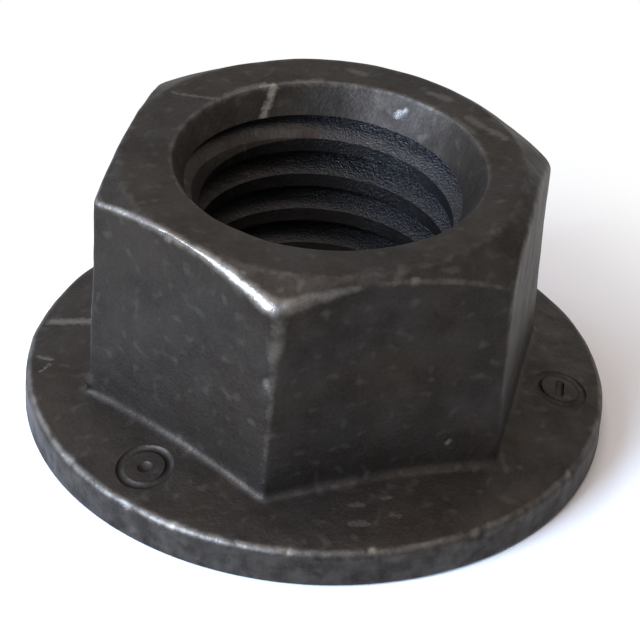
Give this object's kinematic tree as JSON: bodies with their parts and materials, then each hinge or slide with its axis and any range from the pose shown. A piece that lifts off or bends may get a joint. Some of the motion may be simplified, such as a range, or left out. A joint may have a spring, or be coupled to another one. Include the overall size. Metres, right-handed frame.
{
  "type": "hex flange nut",
  "caption": "Hexagon nut with a round conical flange as its washer face, and a right-hand metric thread through it.",
  "frame": {"origin": "centre of the bearing face, on the axis of the thread", "axes": "+Z along the axis of the thread, from the bearing face to the top of the hexagon; +X through a corner of the hexagon"},
  "size_m": [0.0244, 0.0244, 0.012],
  "materials": {
    "black_oxide_steel": "black oxide, oiled, worn to a satin sheen on the edges"
  },
  "bodies": {
    "root": {"flange_nut": "black_oxide_steel"}
  },
  "joints": []
}
